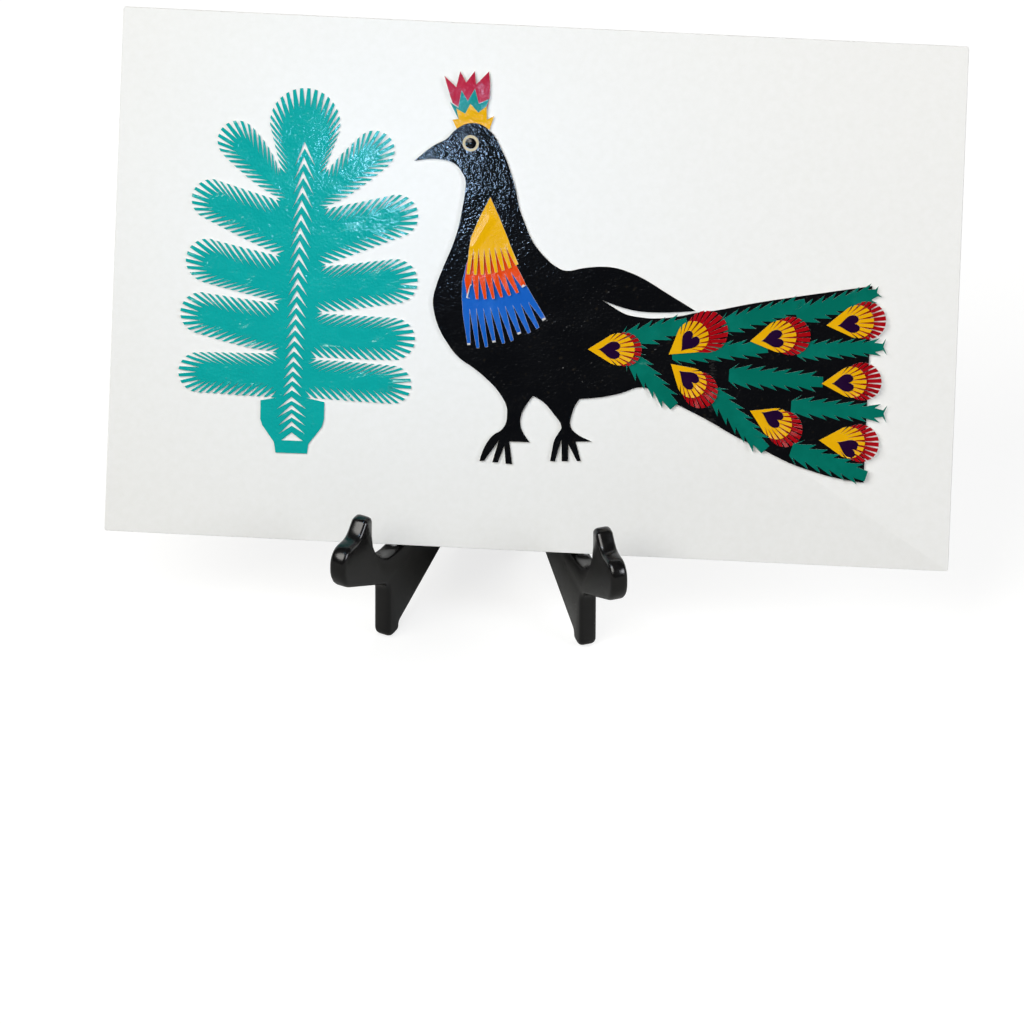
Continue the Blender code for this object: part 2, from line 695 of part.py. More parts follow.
def make_breast(picture):
    papers = {
        "blue": (BREAST_BLUE_SHEET, BREAST_BLUE),
        "orange": (BREAST_ORANGE_SHEET, BREAST_ORANGE),
        "yellow": (BREAST_YELLOW, FAN_YELLOW),
    }
    for key, (spec, colour) in papers.items():
        cut_sheet(f"breast_{key}", [on_bird(fringe(spec))], BREAST_LAYERS[key], colour, picture)


def make_fronds(picture):
    for number, (start, end, half, layer, forked) in enumerate(FRONDS, 1):
        outline = on_bird(frond(start, end, half, forked))
        cut_sheet(f"frond_{number}", [outline], layer, FROND_GREEN, picture)


def make_tail_eyes(picture):
    for number, row in enumerate(TAIL_EYES, 1):
        tip, degrees, yellow, red, red_turn, heart_start, heart_swing, heart_turn = row
        red_tip = turned_line(tip, degrees, RED_TIP_BACK)[1]
        fans = {
            "red": (red_tip, degrees + red_turn, red - RED_TIP_BACK, FAN_RED),
            "yellow": (tip, degrees, yellow, FAN_YELLOW),
        }
        for key, (start, heading, length, colour) in fans.items():
            outline = fan(length, FAN_PETALS[key], SLIT_SHARE[key], SLIT_DEPTH[key])
            loop = on_bird(along(*turned_line(start, heading, length), outline))
            cut_sheet(f"fan_{key}_{number}", [loop], FAN_LAYERS[key], colour, picture)
        start = turned_line(tip, degrees + heart_swing, heart_start)[1]
        outline = heart(HEART_LENGTH, HEART_WIDTH)
        loop = on_bird(along(*turned_line(start, degrees + heart_turn, 1), outline))
        cut_sheet(f"heart_{number}", [loop], FAN_LAYERS["heart"], HEART_PURPLE, picture)


def make_tree(picture):
    loops = [on_tree(tree_outline())]
    loops.extend(on_tree(hole) for hole in tree_holes())
    cut_sheet("tree", loops, TREE_LAYER, TREE_TEAL, picture)


def filleted(corners):
    """Corners given as (x, y, radius), with each one rounded by an arc."""
    outline = []
    for i, (x, y, radius) in enumerate(corners):
        before = unit((x, y), corners[i - 1][:2])
        after = unit((x, y), corners[(i + 1) % len(corners)][:2])
        half = math.acos(before[0] * after[0] + before[1] * after[1]) / 2
        inward = unit((0, 0), (before[0] + after[0], before[1] + after[1]))
        centre = (x + inward[0] * radius / math.sin(half), y + inward[1] * radius / math.sin(half))
        reach = radius / math.tan(half)
        start = (x + before[0] * reach, y + before[1] * reach)
        end = (x + after[0] * reach, y + after[1] * reach)
        first = math.atan2(start[1] - centre[1], start[0] - centre[0])
        swing = math.atan2(end[1] - centre[1], end[0] - centre[0]) - first
        swing = (swing + math.pi) % (2 * math.pi) - math.pi
        for step in range(FILLET_STEPS + 1):
            angle = first + swing * step / FILLET_STEPS
            outline.append((centre[0] + radius * math.cos(angle), centre[1] + radius * math.sin(angle)))
    return outline


def ledge_at(reach):
    """Height of the sloping ledge that the card stands on."""
    return LEDGE_HEIGHT + (reach - SEAT_ON_LEAF) * math.tan(LEDGE_SLOPE)


def leaf_profile():
    """The easel leaf seen from its side: distance from the hinge, height and fillet of each corner."""
    rear_foot = PLATE_START + REAR_FOOT_LENGTH
    foot_front = FRONT_FOOT_BACK + FRONT_FOOT_LENGTH
    arch_top = FRONT_FOOT_RISE + (FRONT_FOOT_BACK - rear_foot) * math.tan(ARCH_SLOPE)
    return [
        (PLATE_START, 0, SMALL_FILLET),
        (rear_foot, 0, FOOT_FILLET),
        (rear_foot, arch_top, ARCH_FILLET),
        (FRONT_FOOT_BACK, FRONT_FOOT_RISE, HEEL_FILLET),
        (FRONT_FOOT_BACK, 0, SMALL_FILLET),
        (foot_front, 0, FOOT_FILLET),
        (foot_front, UNDERCUT_HEIGHT, UNDERCUT_FILLET),
        (LEAF_REACH, BULGE_LOW, BULGE_UNDER_FILLET),
        (LEAF_REACH - BULGE_SLANT, BULGE_HIGH, BULGE_TOP_FILLET),
        (PRONG_BACK + NECK_AHEAD, NECK_HEIGHT, NECK_FILLET),
        (PRONG_BACK + PRONG_TIP_WIDTH, PRONG_TOP, PRONG_FILLET),
        (PRONG_BACK, PRONG_TOP, PRONG_FILLET),
        (PRONG_BACK, ledge_at(PRONG_BACK), LEDGE_CURVE),
        (LEDGE_BACK, ledge_at(LEDGE_BACK), SMALL_FILLET),
        (PLATE_START + UPRIGHT_TOP_WIDTH, UPRIGHT_TOP, FOOT_FILLET),
        (PLATE_START, UPRIGHT_TOP, SMALL_FILLET),
    ]


LEAF_OUTLINE = filleted(leaf_profile())
FRONT_REACH = (
    (max(reach for reach, height in LEAF_OUTLINE) - EDGE_ROUND) * math.cos(OPEN_HALF_ANGLE)
    - (HINGE_FACE + EDGE_ROUND) * math.sin(OPEN_HALF_ANGLE)
    + EDGE_ROUND
)
BACK_REACH = CARD_HEIGHT * math.sin(LEAN) - SEAT_REACH
HINGE_Y = (FRONT_REACH - BACK_REACH) / 2
CARD_FOOT = (0, HINGE_Y - SEAT_REACH, CARD_LOW)


def leaf_plate(side):
    """The leaf as one moulded plate with rounded edges, in the hinge's own frame."""
    curve = bpy.data.curves.new("plate", "CURVE")
    curve.dimensions = "2D"
    curve.fill_mode = "BOTH"
    curve.extrude = LEAF_THICKNESS / 2 - EDGE_ROUND
    curve.bevel_depth = EDGE_ROUND
    curve.bevel_resolution = EDGE_STEPS
    curve.offset = -EDGE_ROUND
    spline = curve.splines.new("POLY")
    spline.points.add(len(LEAF_OUTLINE) - 1)
    for point, (reach, height) in zip(spline.points, LEAF_OUTLINE):
        point.co = (reach, height, 0, 1)
    spline.use_cyclic_u = True
    guide = bpy.data.objects.new("plate", curve)
    bpy.context.scene.collection.objects.link(guide)
    graph = bpy.context.evaluated_depsgraph_get()
    mesh = bpy.data.meshes.new_from_object(guide.evaluated_get(graph))
    bpy.data.objects.remove(guide, do_unlink=True)
    middle = HINGE_FACE + LEAF_THICKNESS / 2
    mesh.transform(Matrix(((0, 0, side, side * middle), (-1, 0, 0, 0), (0, 1, 0, 0), (0, 0, 0, 1))))
    shape = bmesh.new()
    shape.from_mesh(mesh)
    bmesh.ops.remove_doubles(shape, verts=shape.verts, dist=WELD)
    bmesh.ops.recalc_face_normals(shape, faces=shape.faces)
    shape.to_mesh(mesh)
    shape.free()
    return mesh


def helper(name, shape, parent):
    """A hidden mesh that a Boolean uses."""
    mesh = bpy.data.meshes.new(name)
    bmesh.ops.recalc_face_normals(shape, faces=shape.faces)
    shape.to_mesh(mesh)
    shape.free()
    item = bpy.data.objects.new(name, mesh)
    bpy.context.scene.collection.objects.link(item)
    item.parent = parent
    item.hide_render = True
    item.display_type = "WIRE"
    return item


def knuckle_spans(side):
    """Where the barrels of one leaf start and end. The two leaves take turns along the pin."""
    pitch = (BARREL_TOP - BARREL_BOTTOM + TOUCH_GAP) / KNUCKLES
    first = 0 if side < 0 else 1
    lows = [BARREL_BOTTOM + i * pitch for i in range(first, KNUCKLES, 2)]
    return [(low, low + pitch - TOUCH_GAP) for low in lows]


def upright_round(shape, radius, low, high):
    """Adds a closed upright cylinder on the hinge axis."""
    place = Matrix.Translation((0, 0, (low + high) / 2))
    bmesh.ops.create_cone(
        shape,
        cap_ends=True,
        segments=ROUND_SIDES,
        radius1=radius,
        radius2=radius,
        depth=high - low,
        matrix=place,
    )


def make_barrels(side, leaf):
    shape = bmesh.new()
    for low, high in knuckle_spans(side):
        upright_round(shape, BARREL_RADIUS, low, high)
    return helper(leaf.name + "_barrels", shape, leaf)


def make_webs(side, leaf):
    """Short walls that join the barrels to their leaf, no higher than the leaf itself."""
    shape = bmesh.new()
    inner = HINGE_FACE + WEB_INSET
    reach = PLATE_START + UPRIGHT_TOP_WIDTH / 2
    for low, high in knuckle_spans(side):
        top = min(high, UPRIGHT_TOP - FOOT_FILLET) - WEB_INSET
        bottom = low + WEB_INSET
        middle = (side * (inner + WEB_THICKNESS / 2), -reach / 2, (bottom + top) / 2)
        size = Matrix.Diagonal((WEB_THICKNESS, reach, top - bottom, 1))
        bmesh.ops.create_cube(shape, size=1, matrix=Matrix.Translation(middle) @ size)
    return helper(leaf.name + "_webs", shape, leaf)


def make_bore(leaf):
    shape = bmesh.new()
    length = BARREL_TOP - BARREL_BOTTOM
    upright_round(shape, PIN_RADIUS + PIN_GAP, BARREL_BOTTOM - length / 2, BARREL_TOP + length / 2)
    return helper(leaf.name + "_bore", shape, leaf)


def make_leaf(name, side):
    leaf = add_object(name, leaf_plate(side), finish(name + "_plastic", EASEL_BLACK, EASEL_ROUGHNESS))
    steps = [
        ("UNION", make_webs(side, leaf)),
        ("UNION", make_barrels(side, leaf)),
        ("DIFFERENCE", make_bore(leaf)),
    ]
    for operation, other in steps:
        step = leaf.modifiers.new(other.name, "BOOLEAN")
        step.operation = operation
        step.solver = "EXACT"
        step.object = other
    leaf.location = (EASEL_SHIFT, HINGE_Y, 0)
    leaf.rotation_euler.z = side * OPEN_HALF_ANGLE


def make_pin():
    """The hinge pin with a flat head at each end."""
    low = BARREL_BOTTOM - TOUCH_GAP
    high = BARREL_TOP + TOUCH_GAP
    levels = [
        (PIN_HEAD_RADIUS, low - PIN_HEAD_HEIGHT), (PIN_HEAD_RADIUS, low), (PIN_RADIUS, low),
        (PIN_RADIUS, high), (PIN_HEAD_RADIUS, high), (PIN_HEAD_RADIUS, high + PIN_HEAD_HEIGHT),
    ]
    shape = bmesh.new()
    rings = []
    for radius, height in levels:
        angles = [2 * math.pi * i / ROUND_SIDES for i in range(ROUND_SIDES)]
        rings.append([shape.verts.new((radius * math.cos(a), radius * math.sin(a), height)) for a in angles])
    for lower, upper in zip(rings, rings[1:]):
        for i in range(ROUND_SIDES):
            shape.faces.new((lower[i - 1], lower[i], upper[i], upper[i - 1]))
    shape.faces.new(reversed(rings[0]))
    shape.faces.new(rings[-1])
    mesh = bpy.data.meshes.new("hinge_pin")
    shape.to_mesh(mesh)
    shape.free()
    pin = add_object("hinge_pin", mesh, finish("pin_plastic", PIN_BLACK, PIN_ROUGHNESS))
    pin.location = (EASEL_SHIFT, HINGE_Y, 0)


def make_picture():
    """The card and every paper on it ride one empty, which lies in the card's leaning back face."""
    picture = bpy.data.objects.new("picture", None)
    bpy.context.scene.collection.objects.link(picture)
    picture.location = CARD_FOOT
    picture.rotation_euler.x = math.pi / 2 - LEAN
    make_card(picture)
    make_tree(picture)
    make_crest(picture)
    make_bird(picture)
    make_eye(picture)
    make_breast(picture)
    make_fronds(picture)
    make_tail_eyes(picture)


clear_scene()
make_picture()
make_leaf("stand_leaf_left", -1)
make_leaf("stand_leaf_right", 1)
make_pin()
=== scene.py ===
# %% [markdown]
# # A paper cut bird on a folding easel
# A black peacock is built up from layers of glossy coloured paper on a white card, and a tree cut from one
# folded sheet stands in front of it. The card leans on a black plastic easel of two hinged leaves.
# This lesson dresses the working model. Each paper keeps the outline that the working model gives it, and
# gets what real paper has: a white cut edge, a little cockle from the glue, and tips that lift and curl.

# %% Load the working model
import json
import math
from collections import namedtuple

import bpy
from mathutils import Matrix, Vector, noise


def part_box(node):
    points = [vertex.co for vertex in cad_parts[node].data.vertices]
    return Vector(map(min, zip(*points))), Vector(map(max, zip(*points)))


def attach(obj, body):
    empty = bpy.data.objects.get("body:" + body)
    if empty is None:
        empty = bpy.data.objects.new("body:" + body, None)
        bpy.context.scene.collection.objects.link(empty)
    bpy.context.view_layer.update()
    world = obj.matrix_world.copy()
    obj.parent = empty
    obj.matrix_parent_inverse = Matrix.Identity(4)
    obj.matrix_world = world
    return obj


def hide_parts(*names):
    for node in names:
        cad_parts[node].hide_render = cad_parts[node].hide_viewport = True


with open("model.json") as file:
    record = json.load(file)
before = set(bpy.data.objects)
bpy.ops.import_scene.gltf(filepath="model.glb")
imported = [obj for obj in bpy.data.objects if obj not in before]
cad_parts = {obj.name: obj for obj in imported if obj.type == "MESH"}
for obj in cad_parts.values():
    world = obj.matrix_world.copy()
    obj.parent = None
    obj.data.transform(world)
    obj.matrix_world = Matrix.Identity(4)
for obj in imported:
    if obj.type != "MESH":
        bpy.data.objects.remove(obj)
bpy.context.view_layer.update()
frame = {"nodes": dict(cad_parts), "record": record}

# %% [markdown]
# ## The card's own plane
# Everything on the card is easier to think of in the card's own directions: across it, up along it, and out
# from its face. The card leans, so those are not the world's directions. The joint that lifts the picture
# off the easel slides along the card, so its axis is the "up" that is needed, and the other two follow.

# %% Directions and places on the card
MM = 0.001
CARD_THICKNESS = 1.5 * MM

joints = {joint["name"]: joint for joint in frame["record"]["behaviour"]["joints"]}
ACROSS = Vector((1, 0, 0))
UP = Vector(joints["picture_lift"]["axis"]).normalized()
OUT = ACROSS.cross(UP)

card_low, card_high = (Vector(corner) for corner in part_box("backing_card"))
CARD_WIDTH = card_high.x - card_low.x
CARD_HEIGHT = (card_high.z - card_low.z - CARD_THICKNESS * OUT.z) / UP.z
FOOT = Vector(((card_low.x + card_high.x) / 2, card_low.y, card_low.z + CARD_THICKNESS * OUT.z))


def on_card(across, up, out=0.0):
    """World place of a point given in the card's directions, from the middle of its lower front edge."""
    return FOOT + ACROSS * across + UP * up + OUT * out


def card_place(point):
    """The other way round: a world point in the card's directions."""
    offset = point - FOOT
    return offset.dot(ACROSS), offset.dot(UP), offset.dot(OUT)


print("card:", round(CARD_WIDTH / MM), "x", round(CARD_HEIGHT / MM), "mm, out is", tuple(OUT))

# %% [markdown]
# ## From the photograph to the card
# The photograph shows the card a little turned and foreshortened. One pixel and its place on the card are
# known, so any other pixel can be carried over with a turn and a scale. This places the camera, and later
# the few creases and curled tips that belong to this one bird.

# %% Carry a pixel over to the card
PIXEL = 0.351 * MM
FOOT_PIXEL = (524.4, 550.9)
PHOTO_TURN = math.radians(2.6)
PHOTO_TILT = math.radians(9)
PHOTO_SIZE = 1024


def from_photo(x, y):
    right, down = x - FOOT_PIXEL[0], y - FOOT_PIXEL[1]
    turn_cos, turn_sin = math.cos(PHOTO_TURN), math.sin(PHOTO_TURN)
    across = right * turn_cos + down * turn_sin
    up = (right * turn_sin - down * turn_cos) / math.cos(PHOTO_TILT)
    return across * PIXEL, up * PIXEL


print("middle of the photograph, on the card:", from_photo(PHOTO_SIZE / 2, PHOTO_SIZE / 2))

# %% [markdown]
# ## Camera
# The easel's leaves and feet show that the camera looks down by 35 degrees from a little right of the
# middle. It stands far off with a long lens, so that near and far pieces keep nearly the same scale.

# %% Put up the camera
VIEW_RIGHT = math.radians(4.4)
VIEW_DOWN = math.radians(35)
VIEW_ROLL = math.radians(0.25)
VIEW_DISTANCE = 12.0
AIM_PIXEL = (510.8, 512)
SENSOR = 36.0

to_camera = Vector((math.sin(VIEW_RIGHT) * math.cos(VIEW_DOWN),
                    -math.cos(VIEW_RIGHT) * math.cos(VIEW_DOWN),
                    math.sin(VIEW_DOWN)))
aim = on_card(*from_photo(*AIM_PIXEL))
turned = to_camera.to_track_quat("Z", "Y") @ Matrix.Rotation(VIEW_ROLL, 4, "Z").to_quaternion()
bpy.ops.object.camera_add(location=aim + to_camera * VIEW_DISTANCE, rotation=turned.to_euler())
camera = bpy.context.object
camera.data.sensor_width = SENSOR
camera.data.lens = SENSOR * VIEW_DISTANCE / (PHOTO_SIZE * PIXEL)
bpy.context.scene.camera = camera
print("lens:", round(camera.data.lens), "mm")

# %% [markdown]
# ## Colours and nodes
# Colours are written as the hex values that a paint program shows. A renderer adds up light, so it needs
# them in linear form, and one function does that. A second small function adds a shader node, sets its
# properties and fills or links its sockets. Four more use it for what every material here is made of: the
# place on the piece, noise of a real size, a run of colour between two tones, and a change of range.

# %% Helpers for materials


def linear(hex_colour):
    steps = [int(hex_colour[i:i + 2], 16) / 255 for i in (1, 3, 5)]
    return [s / 12.92 if s <= 0.04045 else ((s + 0.055) / 1.055) ** 2.4 for s in steps] + [1.0]


def node(material, kind, inputs=(), **settings):
    made = material.node_tree.nodes.new(kind)
    for name, value in settings.items():
        setattr(made, name, value)
    for name, value in dict(inputs).items():
        if isinstance(value, bpy.types.NodeSocket):
            material.node_tree.links.new(value, made.inputs[name])
        else:
            made.inputs[name].default_value = value
    return made


def new_material(name):
    material = bpy.data.materials.new(name)
    material.use_nodes = True
    material.node_tree.nodes.clear()
    return material


def place_on_piece(material):
    return node(material, "ShaderNodeTexCoord").outputs["Object"]


def per_metre(millimetres):
    return 1000 / millimetres


def speckle(material, place, millimetres, detail, roughness=0.5):
    """Smooth noise whose specks are about as wide as the given millimetres."""
    return node(material, "ShaderNodeTexNoise",
                {"Vector": place, "Scale": per_metre(millimetres), "Detail": detail,
                 "Roughness": roughness}).outputs["Fac"]


def tone_run(material, factor, tones, span=(0.0, 1.0)):
    """Colour that runs from the first hex tone to the second while the factor crosses the span."""
    ramp = node(material, "ShaderNodeValToRGB", {"Fac": factor})
    for stop, position, tone in zip(ramp.color_ramp.elements, span, tones):
        stop.position = position
        stop.color = linear(tone)
    return ramp.outputs["Color"]


def carried_over(material, value, old, new):
    """The value carried over from the old range to the new one."""
    return node(material, "ShaderNodeMapRange",
                {"Value": value, "From Min": old[0], "From Max": old[1],
                 "To Min": new[0], "To Max": new[1]}).outputs["Result"]


print("helpers ready; mid grey is", [round(c, 3) for c in linear("#808080")])

# %% [markdown]
# ## Floor, backdrop and light
# The object stands in a plain white studio. The world is white where the camera looks straight at it, and
# dim for everything else: black glossy paper mirrors what is around it, and would turn grey in an all-white
# room. The floor is a mid grey that keeps the object's shadow, and a glow that only the camera sees lifts
# it to white. So it stays out of the black plastic's reflections, and no extra light falls on the object.

# %% White studio
FLOOR_SIZE = 12.0
FLOOR_TONES = ("#929290", "#989896")
FLOOR_CLOUD = 400
FLOOR_GLOW = 0.77
FLOOR_ROUGHNESS = 0.9
ROOM_LIGHT = 0.06

world = bpy.data.worlds.new("white_studio")
bpy.context.scene.world = world
world.use_nodes = True
world.node_tree.nodes.clear()
seen = node(world, "ShaderNodeLightPath").outputs["Is Camera Ray"]
shown = node(world, "ShaderNodeBackground", {"Color": linear("#FFFFFF"), "Strength": 1.0})
felt = node(world, "ShaderNodeBackground", {"Color": linear("#F4F7FF"), "Strength": ROOM_LIGHT})
sky = node(world, "ShaderNodeMixShader", {0: seen, 1: felt.outputs[0], 2: shown.outputs[0]})
node(world, "ShaderNodeOutputWorld", {"Surface": sky.outputs[0]})

# Matt paper from a wide roll, as photographers hang it, with a hardly visible cloud in its tone.
paper_roll = new_material("studio_paper_roll")
cloud = speckle(paper_roll, place_on_piece(paper_roll), FLOOR_CLOUD, detail=2.0)
glow = node(paper_roll, "ShaderNodeMath",
            {0: node(paper_roll, "ShaderNodeLightPath").outputs["Is Camera Ray"], 1: FLOOR_GLOW},
            operation="MULTIPLY")
matt = node(paper_roll, "ShaderNodeBsdfPrincipled",
            {"Base Color": tone_run(paper_roll, cloud, FLOOR_TONES), "Roughness": FLOOR_ROUGHNESS,
             "Emission Color": linear("#FFFFFF"), "Emission Strength": glow.outputs[0]})
node(paper_roll, "ShaderNodeOutputMaterial", {"Surface": matt.outputs[0]})

bpy.ops.mesh.primitive_plane_add(size=FLOOR_SIZE, location=(0, 0, 0))
floor = bpy.context.object
floor.name = "studio_floor"
floor.data.materials.append(paper_roll)
print("studio floor is", FLOOR_SIZE, "m wide")

# %% [markdown]
# Three soft lamps do most of the rest. The window is large and high on the left, and throws soft shadows to
# the right. The fill on the right lights the inner face of the left easel leaf, and a lamp behind keeps the
# card's back from going dark when the model is turned round. Two gleams are small and weak and hang close
# to the card, where the card mirrors them into the camera: one makes the crinkled shine on the bird's head,
# the other that on the tree's upper right leaf. Because they are close, the shine stays in one place.
# Their spots are worked out by mirroring the line of sight, and the camera doesn't see them.

# %% Soft lamps
Lamp = namedtuple("Lamp", "place size watts colour")
Gleam = namedtuple("Gleam", "pixel distance size watts colour")
LAMPS = {"window": Lamp((-1.0, -1.3, 1.9), 2.0, 50, "#FFFDF8"),
         "fill": Lamp((1.7, -0.9, 1.0), 1.0, 18, "#F7F9FF"),
         "behind": Lamp((0.9, 2.4, 1.3), 2.0, 40, "#FFFFFF")}
GLEAMS = {"head_gleam": Gleam((440, 166), 0.15, 0.008, 0.023, "#B4D6FF"),
          "leaf_gleam": Gleam((368, 158), 0.12, 0.01, 0.011, "#93D2FF")}


def soft_lamp(name, place, target, size, watts, colour):
    bpy.ops.object.light_add(type="AREA", location=place)
    lamp = bpy.context.object
    lamp.name = name
    lamp.rotation_euler = (place - target).to_track_quat("Z", "Y").to_euler()
    lamp.data.shape = "DISK"
    lamp.data.size = size
    lamp.data.energy = watts
    lamp.data.color = linear(colour)[:3]
    return lamp


picture_middle = on_card(0, CARD_HEIGHT / 2)
for name, lamp in LAMPS.items():
    soft_lamp(name, Vector(lamp.place), picture_middle, lamp.size, lamp.watts, lamp.colour)

for name, gleam in GLEAMS.items():
    spot = on_card(*from_photo(*gleam.pixel))
    sight = (camera.location - spot).normalized()
    mirrored = 2 * sight.dot(OUT) * OUT - sight
    hung = soft_lamp(name, spot + mirrored * gleam.distance, spot, gleam.size, gleam.watts, gleam.colour)
    hung.visible_camera = False
    print(name, "stands at", [round(c, 2) for c in hung.location])

# %% [markdown]
# ## Glossy coloured paper
# Such papers are thin white sheets with a coloured, glossy coat on one side. The coat gives a clear but
# soft shine. Glue under it leaves a fine crinkle about a millimetre across, which breaks the shine into
# specks, and a wider cockle. Rubbing makes the coat slightly uneven in colour and gloss.
# All papers share one recipe. They differ in colour, and some are glossier than the rest.
# The white inside of the sheet and the picture board have a matt recipe with a felt of fibres. The fibres
# are drawn coarser than they are, so that they still show at this distance.

# %% Paper materials
# Widths and depths are in millimetres. A span is the part of the noise over which a change runs.
CRINKLE = 1.0
COCKLE = 7.0
COCKLE_SHARE = 2.0
RUBBED = 11.0
RUBBED_SPAN = (0.45, 0.75)
GLOSS_SPAN = (0.3, 0.7)
DUST = 1.6
DUST_SPAN = (0.68, 0.8)
COAT_IOR = 1.5
FELT = 2.5
FELT_SPAN = (0.3, 0.7)
FIBRE = 0.5
FIBRE_DEPTH = 0.012
UNCOATED_ROUGHNESS = 0.82


def gloss_paper(name, tone, rubbed_tone, crinkle_depth=0.06, gloss=(0.19, 0.26), mirror=0.18, dust=None):
    """Thin sheet with a glossy coloured coat: even colour, soft shine broken up by a fine crinkle."""
    paper = new_material(name)
    place = place_on_piece(paper)
    rubbing = speckle(paper, place, RUBBED, detail=5.0, roughness=0.65)
    colour = tone_run(paper, rubbing, (tone, rubbed_tone), RUBBED_SPAN)
    if dust:
        specks = carried_over(paper, speckle(paper, place, DUST, detail=1.0), DUST_SPAN, (0.0, 1.0))
        colour = node(paper, "ShaderNodeMix", {"Factor": specks, "A": colour, "B": linear(dust)},
                      data_type="RGBA").outputs["Result"]
    fine = speckle(paper, place, CRINKLE, detail=1.0)
    wide = speckle(paper, place, COCKLE, detail=2.0)
    relief = node(paper, "ShaderNodeMath", {0: wide, 1: COCKLE_SHARE, 2: fine}, operation="MULTIPLY_ADD")
    bump = node(paper, "ShaderNodeBump", {"Height": relief.outputs[0], "Distance": crinkle_depth * MM})
    coat = node(paper, "ShaderNodeBsdfPrincipled",
                {"Base Color": colour, "Roughness": carried_over(paper, rubbing, GLOSS_SPAN, gloss),
                 "Normal": bump.outputs["Normal"], "IOR": COAT_IOR, "Specular IOR Level": mirror})
    node(paper, "ShaderNodeOutputMaterial", {"Surface": coat.outputs[0]})
    return paper


def uncoated_paper(name, tone, shade):
    """White inside and back of a coated sheet, also the board: matt, with a fine felt of fibres."""
    paper = new_material(name)
    place = place_on_piece(paper)
    felt_noise = speckle(paper, place, FELT, detail=6.0, roughness=0.7)
    fibres = speckle(paper, place, FIBRE, detail=4.0)
    bump = node(paper, "ShaderNodeBump", {"Height": fibres, "Distance": FIBRE_DEPTH * MM})
    sheet = node(paper, "ShaderNodeBsdfPrincipled",
                 {"Base Color": tone_run(paper, felt_noise, (shade, tone), FELT_SPAN),
                  "Roughness": UNCOATED_ROUGHNESS, "Normal": bump.outputs["Normal"]})
    node(paper, "ShaderNodeOutputMaterial", {"Surface": sheet.outputs[0]})
    return paper


glossier = dict(crinkle_depth=0.15, gloss=(0.13, 0.17))
papers = {
    "teal_paper": gloss_paper("teal_gloss_paper", "#00A9A4", "#02AEA8", mirror=0.8, **glossier),
    "crest_red_paper": gloss_paper("crimson_gloss_paper", "#B4203C", "#C02C4A", mirror=0.5, **glossier),
    "crest_teal_paper": gloss_paper("sea_gloss_paper", "#048A86", "#0E9494", mirror=0.4, **glossier),
    "yellow_paper": gloss_paper("yellow_gloss_paper", "#ECB000", "#F0B60A", mirror=0.35),
    "black_paper": gloss_paper("black_gloss_paper", "#020306", "#050609", mirror=0.6, dust="#1E1A14",
                               **glossier),
    "cream_paper": gloss_paper("cream_gloss_paper", "#CFC09C", "#DCCFB0"),
    "blue_paper": gloss_paper("blue_gloss_paper", "#165EBC", "#1E68C4"),
    "orange_paper": gloss_paper("orange_gloss_paper", "#E04408", "#E54E12"),
    "green_paper": gloss_paper("green_gloss_paper", "#006C5C", "#027868"),
    "red_paper": gloss_paper("red_gloss_paper", "#A40410", "#B00C1A"),
    "purple_paper": gloss_paper("purple_gloss_paper", "#1E042C", "#260832"),
}
paper_core = uncoated_paper("uncoated_paper_core", "#F1EFEA", "#E4E1DA")
white_board = uncoated_paper("white_picture_board", "#F7F7F5", "#F3F3F0")
print(len(papers), "coated papers, one core, one board")

# %% [markdown]
# ## Black moulded plastic
# The easel is injection moulded polystyrene. The mould was polished, so the plastic is glossy, with the
# very slight ripple that cooling leaves and a haze of dust and handling. The pin is duller nylon.

# %% Plastic materials
# Again widths and depths in millimetres.
HANDLED = 6
HANDLED_SPAN = (0.45, 0.8)
SHINE_SPAN = (0.35, 0.75)
FLOW = 5
FLOW_DEPTH = 0.03
PLASTIC_IOR = 1.57


def moulded_plastic(name, tone, dusty_tone, gloss):
    """Polished injection moulding: deep black, a clear but slightly rippled shine, faint dust."""
    plastic = new_material(name)
    place = place_on_piece(plastic)
    dust = speckle(plastic, place, HANDLED, detail=7.0, roughness=0.75)
    flow = speckle(plastic, place, FLOW, detail=2.0)
    bump = node(plastic, "ShaderNodeBump", {"Height": flow, "Distance": FLOW_DEPTH * MM})
    skin = node(plastic, "ShaderNodeBsdfPrincipled",
                {"Base Color": tone_run(plastic, dust, (tone, dusty_tone), HANDLED_SPAN),
                 "Roughness": carried_over(plastic, dust, SHINE_SPAN, gloss),
                 "Normal": bump.outputs["Normal"], "IOR": PLASTIC_IOR})
    node(plastic, "ShaderNodeOutputMaterial", {"Surface": skin.outputs[0]})
    return plastic


plastics = {
    "easel_plastic": moulded_plastic("black_polystyrene", "#090808", "#141312", (0.18, 0.3)),
    "pin_plastic": moulded_plastic("black_nylon", "#101011", "#1C1B1A", (0.35, 0.5)),
}
print("plastics:", list(plastics))

# %% [markdown]
# ## Working on one piece at a time
# Blender's operators act on whatever is selected, so each piece is made the only selected one before it is
# worked on. A node of the working model is a set of loose triangles and must not be changed, so a piece
# that follows its outline starts from a copy. There the triangles are joined up first and the flat ones
# melted into whole faces, because thin slivers would shade badly once the sheet bends.

# %% Helpers for pieces
WELD = 0.001 * MM
FLAT_ANGLE = math.radians(0.5)


def work_on(piece):
    bpy.ops.object.select_all(action="DESELECT")
    piece.select_set(True)
    bpy.context.view_layer.objects.active = piece


def joined_copy(node_name, piece_name):
    piece = bpy.data.objects.new(piece_name, frame["nodes"][node_name].data.copy())
    bpy.context.scene.collection.objects.link(piece)
    piece.data.materials.clear()
    work_on(piece)
    bpy.ops.object.mode_set(mode="EDIT")
    bpy.ops.mesh.select_all(action="SELECT")
    bpy.ops.mesh.remove_doubles(threshold=WELD)
    bpy.ops.mesh.dissolve_limited(angle_limit=FLAT_ANGLE)
    bpy.ops.object.mode_set(mode="OBJECT")
    return piece


